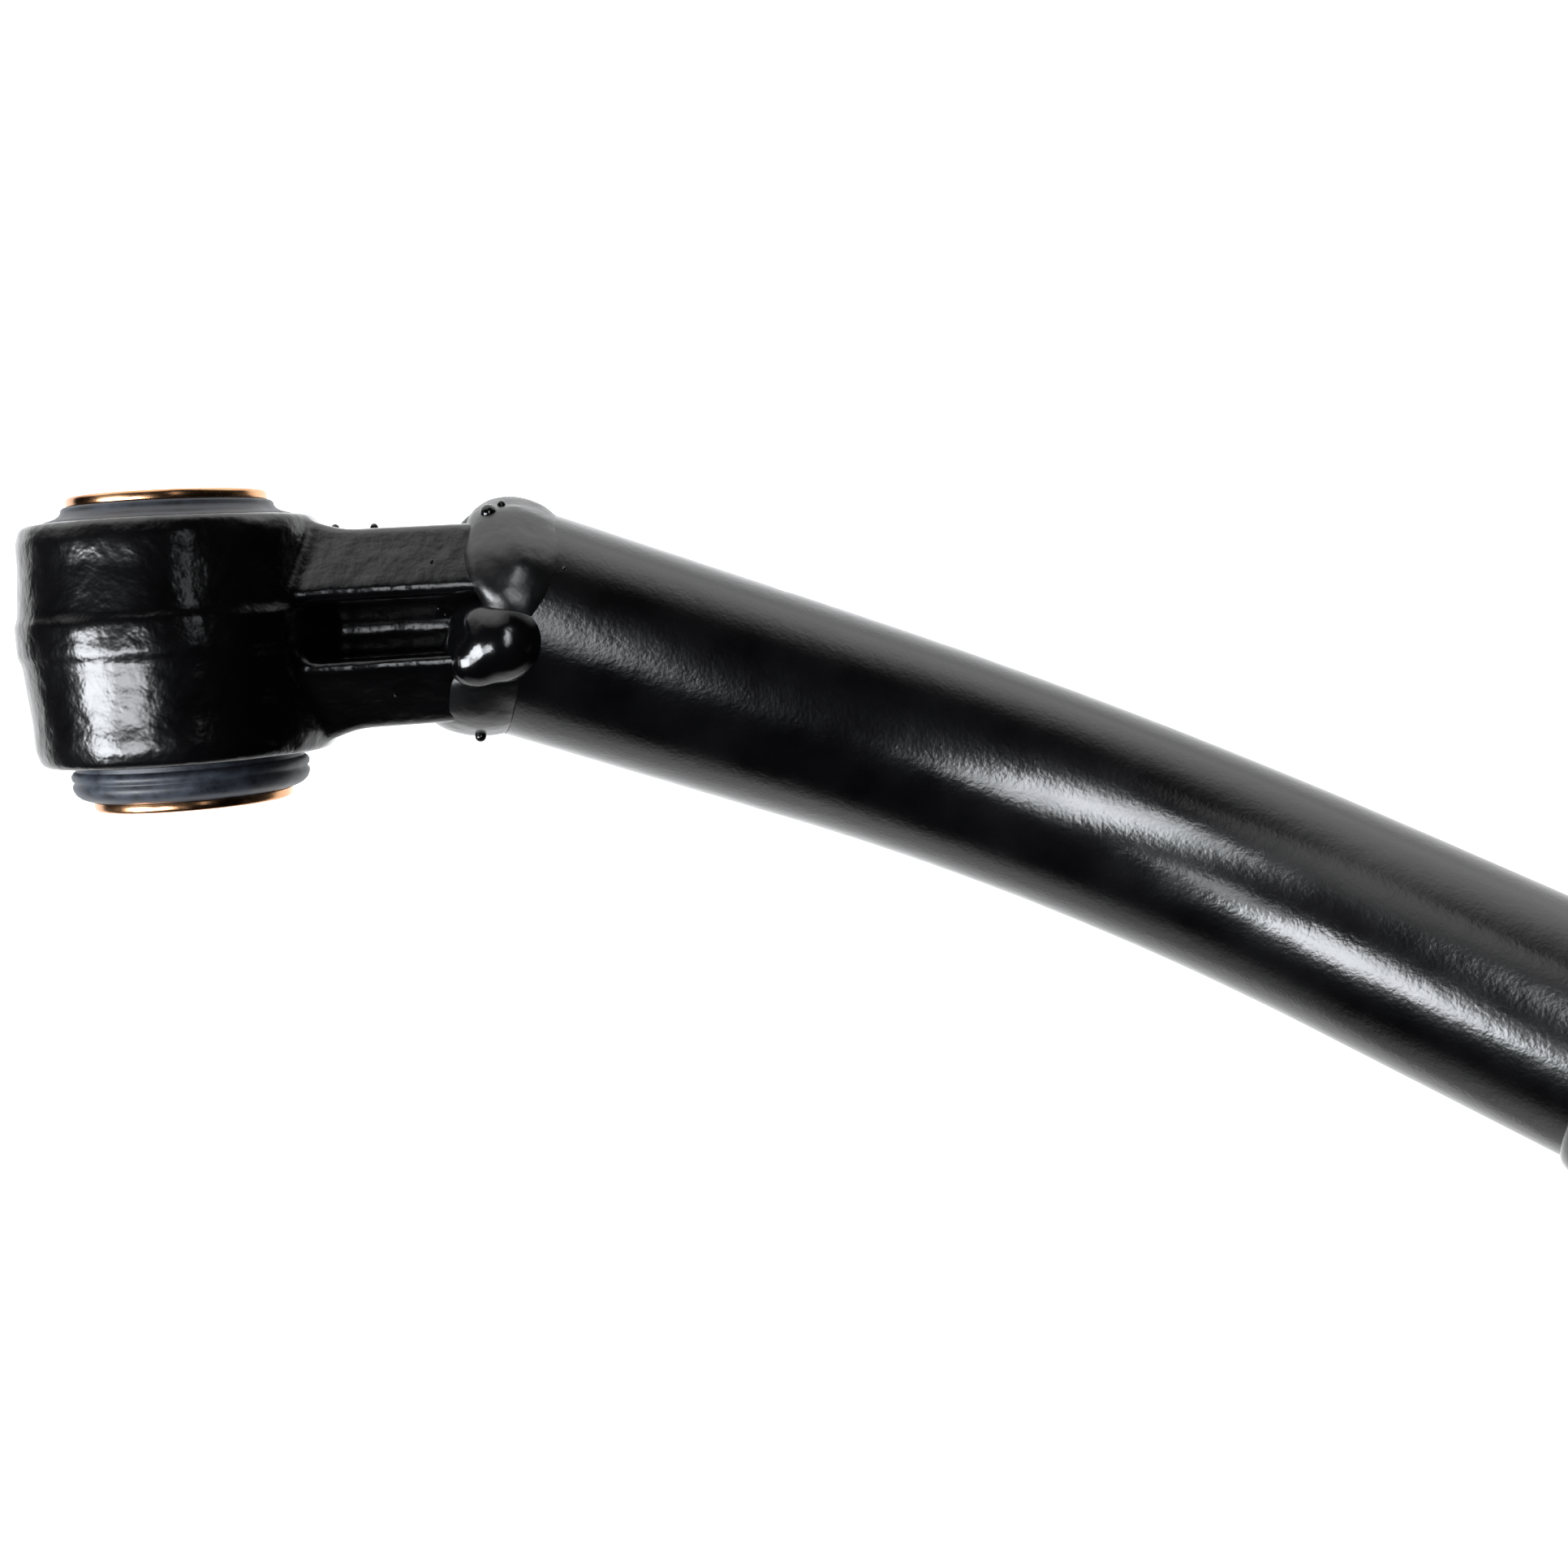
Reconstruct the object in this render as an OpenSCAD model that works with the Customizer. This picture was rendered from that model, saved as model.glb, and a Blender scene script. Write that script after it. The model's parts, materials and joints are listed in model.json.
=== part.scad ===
// Tubular suspension control arm: a bent tube with a forged bush eye welded on one end
// and a threaded, length-adjustable bush eye on the other.
// Units are mm. The origin is the centre of the fixed eye. X runs along the shank of
// the fixed eye, Y along its bolt, and Z is up, the way the tube bends.

/* [Tube] */
// outside diameter of the arm tube
tube_od = 50.8; // [42:0.1:62]
// wall thickness of the arm tube
tube_wall = 6.35; // [3:0.05:8]
// straight length between the fixed end weld and the bend
first_straight = 76; // [50:1:140]
// radius of the bend at the middle of the tube
bend_radius = 167; // [110:1:260]
// angle of the bend
bend_angle = 47; // [10:0.1:70]
// straight length between the bend and the bung
last_straight = 63; // [50:0.5:160]
// sideways kink where the tube meets the fixed forging
kink = 21; // [10:0.5:26]
// how far the plane of the bend leans over towards the lower end of the bolt
bend_lean = 11.6; // [0:0.1:30]
// diameter of the vent hole in the tube
vent_d = 6.35; // [3:0.05:9]
// distance of the vent hole before the start of the bend
vent_back = 19; // [8:0.5:24]

/* [Eyes] */
// height of each eye along its bolt
eye_height = 51; // [42:0.5:62]
// wall of a forged eye around its steel shell, beside the parting band
eye_wall = 5.9; // [4.5:0.1:9]
// height of the raised parting band
band_height = 12; // [6:0.5:16]
// how far the parting band stands out
band_raise = 0.7; // [0.3:0.1:1.2]
// draft angle of the forged eye above and below the band
eye_draft = 5; // [1:0.5:6]
// length of the shank from the side of the eye to the middle of its weld
shank_length = 39.4; // [32:0.1:80]
// how far each edge of the shank lies in from the end face of the eye
shank_inset = 3.9; // [3:0.1:5]
// thickness of the shank across the arm
shank_thick = 45; // [37:0.5:54]
// height of the recess in each side of the shank
recess_height = 13.6; // [8:0.1:17]
// thickness of the web between the two recesses
web_thick = 16; // [10:0.5:24]

/* [Bush] */
// how far the sleeve stands out past the eye at each end, on average
sleeve_stand_out = 7.85; // [6.5:0.05:12]
// how far the bush sits towards the lower end of its bolt
bush_drop = 2.2; // [0:0.1:2.6]
// outside diameter of the bush sleeve
sleeve_od = 25.4; // [21:0.1:31]
// diameter of the bolt bore in the sleeve
bolt_bore = 14.7; // [10:0.05:17.7]
// thickness of the soft rubber layer on the sleeve
soft_rubber = 4.3; // [3.5:0.1:6]
// how far an end ring reaches out past the soft rubber
ring_lap = 3.9; // [3:0.1:4.8]
// thickness of each end ring
ring_thick = 2; // [1.2:0.1:3]
// how much further out the steel shell lies than the rim of an end ring
shell_past_ring = 5.8; // [5:0.1:8]
// wall thickness of the pressed-in steel shell
shell_wall = 1.4; // [1:0.1:2]

/* [Adjuster] */
// wall of the bung between the adjuster's thread and the bore of the tube
bung_wall = 3.175; // [2.5:0.025:5]
// wall of the jam nut from its thread to a flat
nut_wall = 7.925; // [6:0.025:11]
// height of the jam nut
nut_height = 18.3; // [12:0.1:22]
// thread left bare between the jam nut and the neck
bare_thread = 14; // [13:0.5:20]
// length of thread that enters the bung
thread_in_bung = 42; // [30:1:50]
// length of the adjuster's neck from the side of its eye to its end
neck_past_eye = 13.4; // [9:0.1:28]
// length of the bung's collar outside the tube
collar_length = 12; // [8:0.5:20]
// length of the bung inside the tube
spigot_length = 44; // [40:0.5:60]

/* [Hidden] */
$fn = 96;
// clearances between bodies, and fits
run_gap = 0.05;
thread_gap = 0.07;
face_gap = 0.3;
// room between an end ring and the rubber lip, for the tilt of the bush
lip_gap = 1.15;
// bush, from the sleeve outwards
sleeve_length = eye_height + 2 * sleeve_stand_out;
sleeve_half = sleeve_length / 2;
sleeve_r = sleeve_od / 2;
neck_r = sleeve_r + soft_rubber;
ball_r = neck_r + 3;
neck_room = 0.8;
neck_room_end = 2.6;
neck_start = sqrt(pow(ball_r + run_gap, 2) - pow(neck_r + neck_room, 2)) + run_gap;
ring_r = neck_r + ring_lap;
ring_in = sleeve_half - ring_thick;
ring_edge = 0.5;
lip_top = ring_in - lip_gap - face_gap;
shell_r = ring_r + shell_past_ring;
shell_bore_r = shell_r - shell_wall;
// eyes
eye_half = eye_height / 2;
band_half = band_height / 2;
band_slope = 1;
eye_mid_r = shell_r + eye_wall;
eye_edge = 1.4;
eye_rim_r = eye_mid_r - (eye_half - band_half) * tan(eye_draft);
shell_half = eye_half - 1;
// how far the rubber lip stands out of the eye at its upper and lower end
upper_lip = lip_top - bush_drop - eye_half;
lower_lip = lip_top + bush_drop - eye_half;
// shank of the fixed eye
mitre_x = eye_mid_r + shank_length;
shank_half = eye_half - shank_inset;
shank_side = shank_thick / 2;
shank_land = 0.36 * shank_half;
slant_deep = 8.5;
slant_edge = 1.8;
slant_end = 12;
shank_sunk = 8;
plan_fillet = 30;
fillet_x = sqrt(pow(eye_mid_r + plan_fillet, 2) - pow(shank_side + plan_fillet, 2));
run_inset = 6.5;
shoulder_out = 6.5;
shoulder_inset = 10;
recess_start = 8;
recess_floor = web_thick / 2;
recess_end = mitre_x - 6;
recess_keep_r = eye_mid_r + band_raise + 0.2;
// tube and its welds
tube_r = tube_od / 2;
tube_bore_r = tube_r - tube_wall;
mitre = kink / 2;
vent_x = first_straight - vent_back;
vent_turn = -98;
bar_overlap = 3;
bar_step = 0.1;
end_r = tube_r - bar_step;
end_bore_r = tube_bore_r - bar_step;
root_gap = 4;
stub_length = 22;
stub_r = tube_bore_r - run_gap;
weld_rise = 1.3;
weld_root = 4;
weld_back = 11;
weld_front = 7;
recess_bead_r = 10.5;
recess_bead_rise = 3;
bung_rise = 2.6;
bead_half = 5;
// adjuster
spigot_r = end_bore_r - run_gap;
thread_r = tube_bore_r - bung_wall;
thread_bore_r = thread_r + thread_gap;
thread_lead = 2;
nut_flats = 2 * (thread_r + nut_wall);
nut_corner_r = nut_flats / 2 / cos(30);
nut_chamfer = 2.2;
stud_r = thread_r + 2.4;
neck_root_r = max(shank_half - 1, stud_r);
neck_length = eye_mid_r + neck_past_eye;
eye_from_tube = collar_length + face_gap + nut_height + bare_thread + neck_length;
thread_end = eye_from_tube + thread_in_bung - collar_length;
// side of the blocks used for cutting, larger than anything they cut
cut = 160;

// the adjuster's bolt is turned about the tube until it lies as near as it can to Y
tube_y = [sin(kink) * cos(bend_lean), cos(kink) * cos(bend_lean), sin(bend_lean)];
tube_z = [-sin(kink) * sin(bend_lean), -cos(kink) * sin(bend_lean), cos(bend_lean)];
end_z_y = sin(bend_angle) * sin(kink) + cos(bend_angle) * tube_z[1];
adjuster_roll = atan2(end_z_y, tube_y[1]);

// ---- where things stand ----

// the tube's own axes: x along its first straight, the bend in its x-z plane
module along_tube() {
  translate([mitre_x, 0, 0])
    rotate([0, 0, -kink])
      rotate([bend_lean, 0, 0])
        children();
}

// the end of the bend, x along the last straight
module after_bend() {
  along_tube()
    translate([first_straight + bend_radius * sin(bend_angle), 0, bend_radius * (1 - cos(bend_angle))])
      rotate([0, -bend_angle, 0])
        children();
}

// the far end of the tube, x along its last straight
module at_tube_end() {
  after_bend()
    translate([last_straight, 0, 0])
      children();
}

// the adjuster eye's axes: its centre, x away from the tube, y along its bolt
module at_adjuster() {
  at_tube_end()
    translate([eye_from_tube, 0, 0])
      rotate([adjuster_roll, 0, 0])
        children();
}

// the mitre plane, x through it towards the tube
module at_mitre() {
  translate([mitre_x, 0, 0])
    rotate([0, 0, -mitre])
      children();
}

// turns a shape drawn along z so that it runs along x
module to_x() {
  rotate([0, 90, 0])
    children();
}

// turns a shape drawn along z so that it runs along y
module to_y() {
  rotate([-90, 0, 0])
    children();
}

// ---- the two forged eyes ----

module eye_blank() {
  to_y()
    rotate_extrude()
      polygon([
        [0, -eye_half],
        [eye_rim_r - eye_edge, -eye_half],
        [eye_rim_r + 0.1, -eye_half + eye_edge],
        [eye_mid_r, -band_half],
        [eye_mid_r + band_raise, -band_half + band_slope],
        [eye_mid_r + band_raise, band_half - band_slope],
        [eye_mid_r, band_half],
        [eye_rim_r + 0.1, eye_half - eye_edge],
        [eye_rim_r - eye_edge, eye_half],
        [0, eye_half]
      ]);
}

module eye_bore() {
  to_y()
    cylinder(h = eye_height + 2, r = shell_r, center = true);
}

// half of the shank's section beside one recess: along the bolt, and across the arm
module shank_flange() {
  polygon([
    [-shank_half, 0],
    [shank_half, 0],
    [shank_half, shank_side - slant_end],
    [shank_half - slant_edge, shank_side - slant_deep],
    [shank_land, shank_side],
    [-shank_land, shank_side],
    [-shank_half + slant_edge, shank_side - slant_deep],
    [-shank_half, shank_side - slant_end]
  ]);
}

module shank_section() {
  union() {
    shank_flange();
    mirror([0, 1])
      shank_flange();
  }
}

// the smooth run from the eye's side into the shank's side, seen from above
module plan_web() {
  difference() {
    polygon([[0, 0], [fillet_x, 0], [fillet_x, shank_side + plan_fillet]]);
    translate([fillet_x, shank_side + plan_fillet])
      circle(r = plan_fillet, $fn = 192);
  }
}

module shank_blank() {
  // the bar itself
  translate([eye_mid_r - shank_sunk, 0, 0])
    rotate([90, 0, 90])
      linear_extrude(height = shank_length + shank_sunk + root_gap + shank_half)
        shank_section();
  // the runs from the eye's sides
  intersection() {
    for (side = [0, 1])
      mirror([0, 0, side])
        rotate([90, 0, 0])
          linear_extrude(height = 2 * (shank_half - run_inset), center = true)
            plan_web();
    translate([fillet_x / 2, 0, 0])
      cube([fillet_x, 2 * shank_half, 2 * eye_mid_r], center = true);
  }
  // the shoulders from the eye's ends down to the shank
  intersection() {
    union() {
      for (side = [0, 1])
        mirror([0, side, 0])
          translate([0, shank_half - 1, 0])
            to_y()
              cylinder(h = shank_inset, r1 = eye_rim_r + shoulder_out, r2 = eye_rim_r - 1);
    }
    translate([eye_mid_r / 2 + 12, 0, 0])
      cube([eye_mid_r, eye_height, 2 * (shank_side - shoulder_inset)], center = true);
  }
}

// one recess, open to the arm's side
module recess() {
  difference() {
    translate([0, 0, recess_floor])
      linear_extrude(height = cut)
        translate([recess_start, -recess_height / 2])
          square([recess_end - recess_start, recess_height]);
    to_y()
      cylinder(h = eye_height, r = recess_keep_r, center = true);
  }
}

module fixed_eye_forging() {
  color([0.06, 0.06, 0.065]) {
    difference() {
      union() {
        eye_blank();
        difference() {
          shank_blank();
          // flat mitred end
          at_mitre()
            translate([-root_gap / 2, -cut / 2, -cut / 2])
              cube(cut);
        }
        // stub that locates the forging in the tube
        difference() {
          along_tube()
            translate([-stub_r, 0, 0])
              to_x()
                cylinder(h = stub_length + stub_r, r = stub_r);
          at_mitre()
            translate([-root_gap / 2 - cut, -cut / 2, -cut / 2])
              cube(cut);
        }
      }
      eye_bore();
      for (side = [0, 1])
        mirror([0, 0, side])
          recess();
    }
  }
}

module adjuster_eye_forging() {
  color([0.06, 0.06, 0.065]) {
    at_adjuster() {
      difference() {
        union() {
          eye_blank();
          // neck and thread, turned on the tube's line
          rotate([0, -90, 0])
            rotate_extrude()
              polygon([
                [0, 0],
                [neck_root_r, 0],
                [neck_root_r, eye_mid_r - 3],
                [stud_r, neck_length - 4],
                [stud_r, neck_length - 1],
                [stud_r - 1, neck_length],
                [thread_r, neck_length],
                [thread_r, thread_end - thread_lead],
                [thread_r - thread_lead, thread_end],
                [0, thread_end]
              ]);
        }
        eye_bore();
      }
    }
  }
}

// ---- tube and welds ----

// first straight of the tube as a solid bar, run back past the mitre
module first_bar(r) {
  along_tube()
    translate([-tube_r, 0, 0])
      to_x()
        cylinder(h = first_straight + tube_r, r = r);
}

// the bend as a solid bar
module bend_bar(r) {
  along_tube()
    translate([first_straight, 0, bend_radius])
      rotate([90, 0, 0])
        rotate([0, 0, -90])
          rotate_extrude(angle = bend_angle)
            translate([bend_radius, 0])
              circle(r = r);
}

// last straight as a solid bar, a hair thinner so that it starts inside the bend
module last_bar(r) {
  after_bend()
    translate([-bar_overlap, 0, 0])
      to_x()
        cylinder(h = last_straight + bar_overlap, r = r - bar_step);
}

module past_mitre() {
  difference() {
    children();
    at_mitre()
      translate([root_gap / 2 - cut, -cut / 2, -cut / 2])
        cube(cut);
  }
}

module arm_tube() {
  color([0.06, 0.06, 0.065]) {
    past_mitre()
      difference() {
        union() {
          first_bar(tube_r);
          bend_bar(tube_r);
          last_bar(tube_r);
        }
        union() {
          first_bar(tube_bore_r);
          bend_bar(tube_bore_r);
          last_bar(tube_bore_r);
        }
        // vent
        along_tube()
          translate([vent_x, 0, 0])
            rotate([vent_turn, 0, 0])
              cylinder(h = tube_od, d = vent_d);
      }
  }
}

// space taken by the tube and the shank where they are welded
module weld_room() {
  past_mitre()
    first_bar(tube_r);
  difference() {
    shank_blank();
    at_mitre()
      translate([-root_gap / 2, -cut / 2, -cut / 2])
        cube(cut);
  }
  along_tube()
    translate([-cut / 4, 0, 0])
      to_x()
        cylinder(h = cut / 2, r = stub_r);
}

// bead all round the mitre, between the forging and the tube
module fixed_weld_ring() {
  color([0.08, 0.08, 0.085]) {
    difference() {
      at_mitre()
        to_x()
          rotate_extrude()
            polygon([
              [stub_r - weld_root, -weld_back],
              [tube_r - 0.9 * weld_root, -weld_back],
              [tube_r - 0.3 * weld_root, -0.7 * weld_back],
              [tube_r + 0.6 * weld_rise, -0.3 * weld_back],
              [tube_r + weld_rise, 0],
              [tube_r + 0.7 * weld_rise, 0.55 * weld_front],
              [tube_r - bar_step, weld_front],
              [stub_r - weld_root, weld_front]
            ]);
      weld_room();
    }
  }
}

// short bead laid across one recess, at the tube's end of the shank
module recess_bead() {
  difference() {
    intersection() {
      translate([recess_end - recess_bead_r / 2, 0, shank_side - recess_bead_r + recess_bead_rise])
        sphere(r = recess_bead_r);
      translate([recess_end - 2 * recess_bead_r, -recess_height / 2, recess_floor])
        cube([3 * recess_bead_r, recess_height, shank_side]);
    }
    translate([recess_end, -recess_height, 0])
      cube([3 * recess_bead_r, 2 * recess_height, shank_side]);
    fixed_weld_ring();
  }
}

module recess_weld_front() {
  color([0.08, 0.08, 0.085])
    recess_bead();
}

module recess_weld_back() {
  color([0.08, 0.08, 0.085])
    mirror([0, 0, 1])
      recess_bead();
}

// bead round the joint between the tube and the bung's collar
module bung_weld() {
  color([0.08, 0.08, 0.085])
    at_tube_end()
      to_x()
        rotate_extrude()
          polygon([
            [end_r, -bead_half],
            [end_r + 0.7 * bung_rise, -0.65 * bead_half],
            [end_r + bung_rise, 0],
            [end_r + 0.7 * bung_rise, 0.65 * bead_half],
            [end_r, bead_half]
          ]);
}

// ---- adjuster hardware ----

module threaded_bung() {
  color([0.06, 0.06, 0.065])
    at_tube_end()
      to_x()
        rotate_extrude()
          polygon([
            [thread_bore_r, -spigot_length],
            [spigot_r - 1.5, -spigot_length],
            [spigot_r, -spigot_length + 2],
            [spigot_r, 0],
            [end_r, 0],
            [end_r, collar_length - 1.5],
            [end_r - 1.5, collar_length],
            [thread_bore_r + 1, collar_length],
            [thread_bore_r, collar_length - 1]
          ]);
}

module jam_nut() {
  color([0.72, 0.73, 0.76])
    at_tube_end()
      translate([collar_length + face_gap, 0, 0])
        to_x()
          difference() {
            intersection() {
              cylinder(h = nut_height, r = nut_corner_r, $fn = 6);
              rotate_extrude()
                polygon([
                  [0, 0],
                  [nut_flats / 2 - 0.4, 0],
                  [nut_corner_r + 0.1, nut_chamfer],
                  [nut_corner_r + 0.1, nut_height - nut_chamfer],
                  [nut_flats / 2 - 0.4, nut_height],
                  [0, nut_height]
                ]);
            }
            translate([0, 0, -1])
              cylinder(h = nut_height + 2, r = thread_bore_r);
          }
}

// ---- one bush, its bolt along y ----

module bush_shell() {
  color([0.35, 0.36, 0.38])
    to_y()
      difference() {
        cylinder(h = 2 * shell_half, r = shell_r, center = true);
        cylinder(h = 2 * shell_half + 2, r = shell_bore_r, center = true);
      }
}

// hard rubber, bonded in the shell: a short lip above the eye and a deep grooved one below
module bush_outer_rubber() {
  color([0.1, 0.11, 0.13])
    to_y()
      difference() {
        rotate_extrude()
          polygon([
            [0, -eye_half - lower_lip],
            [shell_r - 4.6, -eye_half - lower_lip],
            [shell_r - 2.8, -eye_half - 0.9 * lower_lip],
            [shell_r - 2, -eye_half - 0.7 * lower_lip],
            [shell_r - 2.5, -eye_half - 0.6 * lower_lip],
            [shell_r - 1.9, -eye_half - 0.5 * lower_lip],
            [shell_r - 1.8, -eye_half - 0.3 * lower_lip],
            [shell_r - 2.4, -eye_half - 0.2 * lower_lip],
            [shell_r - 2.3, -shell_half],
            [shell_bore_r, -shell_half],
            [shell_bore_r, shell_half],
            [shell_r - 1.9, shell_half],
            [shell_r - 2.1, eye_half + 0.25 * upper_lip],
            [shell_r - 3.3, eye_half + 0.5 * upper_lip],
            [shell_r - 4.7, eye_half + 0.65 * upper_lip],
            [shell_r - 5, eye_half + upper_lip],
            [0, eye_half + upper_lip]
          ]);
        // ball-shaped seat and the room round the neck, about the middle of the bush
        translate([0, 0, -bush_drop]) {
          sphere(r = ball_r + run_gap);
          for (side = [0, 1])
            mirror([0, 0, side])
              translate([0, 0, neck_start])
                cylinder(h = lip_top - neck_start + run_gap, r1 = neck_r + neck_room, r2 = neck_r + neck_room_end);
        }
      }
}

// soft rubber on the sleeve, with a ball-shaped middle
module bush_inner_rubber() {
  color([0.09, 0.1, 0.12])
    to_y()
      translate([0, 0, -bush_drop])
        difference() {
          union() {
            sphere(r = ball_r);
            cylinder(h = 2 * (ring_in - face_gap), r = neck_r, center = true);
          }
          cylinder(h = sleeve_length, r = sleeve_r + run_gap, center = true);
        }
}

module bush_sleeve() {
  color([0.78, 0.58, 0.26])
    to_y()
      translate([0, 0, -bush_drop])
        difference() {
          cylinder(h = sleeve_length, r = sleeve_r, center = true);
          cylinder(h = sleeve_length + 2, d = bolt_bore, center = true);
        }
}

// ring round the end of the sleeve: side 1 is the upper end, side -1 the lower
module bush_ring(side) {
  color([0.8, 0.56, 0.3])
    to_y()
      translate([0, 0, -bush_drop + side * (ring_in + ring_thick / 2)])
        difference() {
          rotate_extrude()
            polygon([
              [0, -ring_thick / 2],
              [ring_r - ring_edge, -ring_thick / 2],
              [ring_r, -ring_thick / 2 + ring_edge],
              [ring_r, ring_thick / 2 - ring_edge],
              [ring_r - ring_edge, ring_thick / 2],
              [0, ring_thick / 2]
            ]);
          cylinder(h = 2 * ring_thick, r = sleeve_r, center = true);
        }
}

module fixed_bush_shell() {
  bush_shell();
}

module fixed_outer_rubber() {
  bush_outer_rubber();
}

module fixed_inner_rubber() {
  bush_inner_rubber();
}

module fixed_sleeve() {
  bush_sleeve();
}

module fixed_top_ring() {
  bush_ring(1);
}

module fixed_bottom_ring() {
  bush_ring(-1);
}

module adjuster_bush_shell() {
  at_adjuster()
    bush_shell();
}

module adjuster_outer_rubber() {
  at_adjuster()
    bush_outer_rubber();
}

module adjuster_inner_rubber() {
  at_adjuster()
    bush_inner_rubber();
}

module adjuster_sleeve() {
  at_adjuster()
    bush_sleeve();
}

module adjuster_top_ring() {
  at_adjuster()
    bush_ring(1);
}

module adjuster_bottom_ring() {
  at_adjuster()
    bush_ring(-1);
}

arm_tube();
fixed_eye_forging();
fixed_weld_ring();
recess_weld_front();
recess_weld_back();
threaded_bung();
bung_weld();
jam_nut();
adjuster_eye_forging();
fixed_bush_shell();
fixed_outer_rubber();
fixed_inner_rubber();
fixed_sleeve();
fixed_top_ring();
fixed_bottom_ring();
adjuster_bush_shell();
adjuster_outer_rubber();
adjuster_inner_rubber();
adjuster_sleeve();
adjuster_top_ring();
adjuster_bottom_ring();
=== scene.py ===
"""Looks of an adjustable tubular control arm: black powder coat, rubber bushes, gold rings."""
import json
import math

import bpy
from mathutils import Matrix, Vector


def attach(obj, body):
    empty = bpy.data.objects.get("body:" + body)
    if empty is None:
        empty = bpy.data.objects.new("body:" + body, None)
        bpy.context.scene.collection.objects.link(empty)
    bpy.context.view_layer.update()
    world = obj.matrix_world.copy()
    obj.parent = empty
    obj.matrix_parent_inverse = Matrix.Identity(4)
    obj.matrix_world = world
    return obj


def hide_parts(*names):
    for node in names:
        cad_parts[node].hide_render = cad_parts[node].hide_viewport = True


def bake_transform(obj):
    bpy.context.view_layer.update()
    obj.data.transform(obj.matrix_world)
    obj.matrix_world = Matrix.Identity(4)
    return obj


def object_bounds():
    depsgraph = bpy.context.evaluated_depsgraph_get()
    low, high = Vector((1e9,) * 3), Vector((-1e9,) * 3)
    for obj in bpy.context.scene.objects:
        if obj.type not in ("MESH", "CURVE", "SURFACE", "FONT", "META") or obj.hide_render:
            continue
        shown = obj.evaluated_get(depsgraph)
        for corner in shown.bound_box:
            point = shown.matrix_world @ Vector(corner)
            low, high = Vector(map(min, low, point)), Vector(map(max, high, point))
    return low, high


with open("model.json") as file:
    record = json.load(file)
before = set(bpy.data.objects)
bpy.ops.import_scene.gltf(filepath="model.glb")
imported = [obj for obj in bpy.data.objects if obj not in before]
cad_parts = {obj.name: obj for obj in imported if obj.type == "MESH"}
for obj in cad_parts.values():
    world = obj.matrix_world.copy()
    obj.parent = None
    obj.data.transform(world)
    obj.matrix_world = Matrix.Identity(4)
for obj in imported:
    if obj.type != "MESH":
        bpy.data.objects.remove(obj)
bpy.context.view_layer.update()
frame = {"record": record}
MM = 0.001

# ---- sizes in mm, the same as in the CAD ----
TUBE_R = 25.4
BEND_R = 167.0
KINK = 21.0
MITRE_X = 72.0
EYE_HALF = 25.5
EYE_MID_R = 32.6
EYE_RIM_R = 30.9
BAND_HALF = 6.0
BAND_RAISE = 0.7
SHELL_R = 26.7
SHELL_BORE_R = 25.3
SLEEVE_HALF = 33.35
SLEEVE_R = 12.7
BOLT_R = 7.35
RING_R = 20.9
RING_THICK = 2.0
BUSH_DROP = 2.2
BALL_R = 20.0
NECK_R = 17.0
BALL_TURN = 31.8
SHANK_HALF = 21.6
SHANK_SIDE = 22.5
SLANT_DEEP = 8.5
WEB_HALF = 8.0
RECESS_END = 66.0
PLAN_FILLET = 30.0
COLLAR = 12.0
FACE_GAP = 0.3
NUT_HEIGHT = 18.3
NUT_FLATS = 47.6
BARE_THREAD = 14.0
NECK_LENGTH = 46.0
THREAD_R = 15.875
THREAD_PITCH = 2.117
VENT_X = 57.0
VENT_R = 3.175
VENT_TURN = -98.0
EYE_FROM_TUBE = COLLAR + FACE_GAP + NUT_HEIGHT + BARE_THREAD + NECK_LENGTH

# ---- sizes in mm that belong to the looks alone ----
BAND_LOW = -3.0
BAND_SLOPE = 0.9
RIM_ROUND_R = 1.2
RIM_ROUND_Y = 1.1
RIM_STEP = 0.7
FLANGE_LAND = 7.8
FLANGE_RUN_X = 41.0
FLANGE_RUN_R = 30.0
RECESS_HALF_LENGTH = 29.0
TUBE_WALL = 6.2
CLEAR = 60.0

# ---- places, from the record ----
joints = {j["name"]: j for j in frame["record"]["behaviour"]["joints"]}
mounts = {m["name"]: m for m in frame["record"]["mounts"]}
FAR_CENTRE = Vector(mounts["adjuster_bolt"]["pos_m"]) / MM
FAR_BOLT = Vector(joints["adjuster_bush_twist"]["axis"]).normalized()
FAR_LINE = Vector(joints["adjuster_slide"]["axis"]).normalized()
TUBE_END = FAR_CENTRE - FAR_LINE * EYE_FROM_TUBE
MITRE = Vector((MITRE_X, 0, 0))
FIRST_LINE = Vector((math.cos(math.radians(KINK)), -math.sin(math.radians(KINK)), 0))


def axes_matrix(x_axis, y_axis, origin):
    """Matrix that takes local x, y and the origin to these, in mm."""
    x = x_axis.normalized()
    z = x.cross(y_axis).normalized()
    y = z.cross(x)
    m = Matrix((x, y, z)).transposed().to_4x4()
    m.translation = origin
    return m


BEND_AXIS = FIRST_LINE.cross(FAR_LINE).normalized() * -1
BEND_ANGLE = FIRST_LINE.angle(FAR_LINE)
FIRST_FRAME = axes_matrix(FIRST_LINE, BEND_AXIS, MITRE)
END_FRAME = axes_matrix(FAR_LINE, BEND_AXIS, TUBE_END)
FAR_FRAME = axes_matrix(FAR_LINE, FAR_BOLT, FAR_CENTRE)
MITRE_FRAME = Matrix.Translation(MITRE) @ Matrix.Rotation(math.radians(-KINK / 2), 4, "Z")


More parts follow.
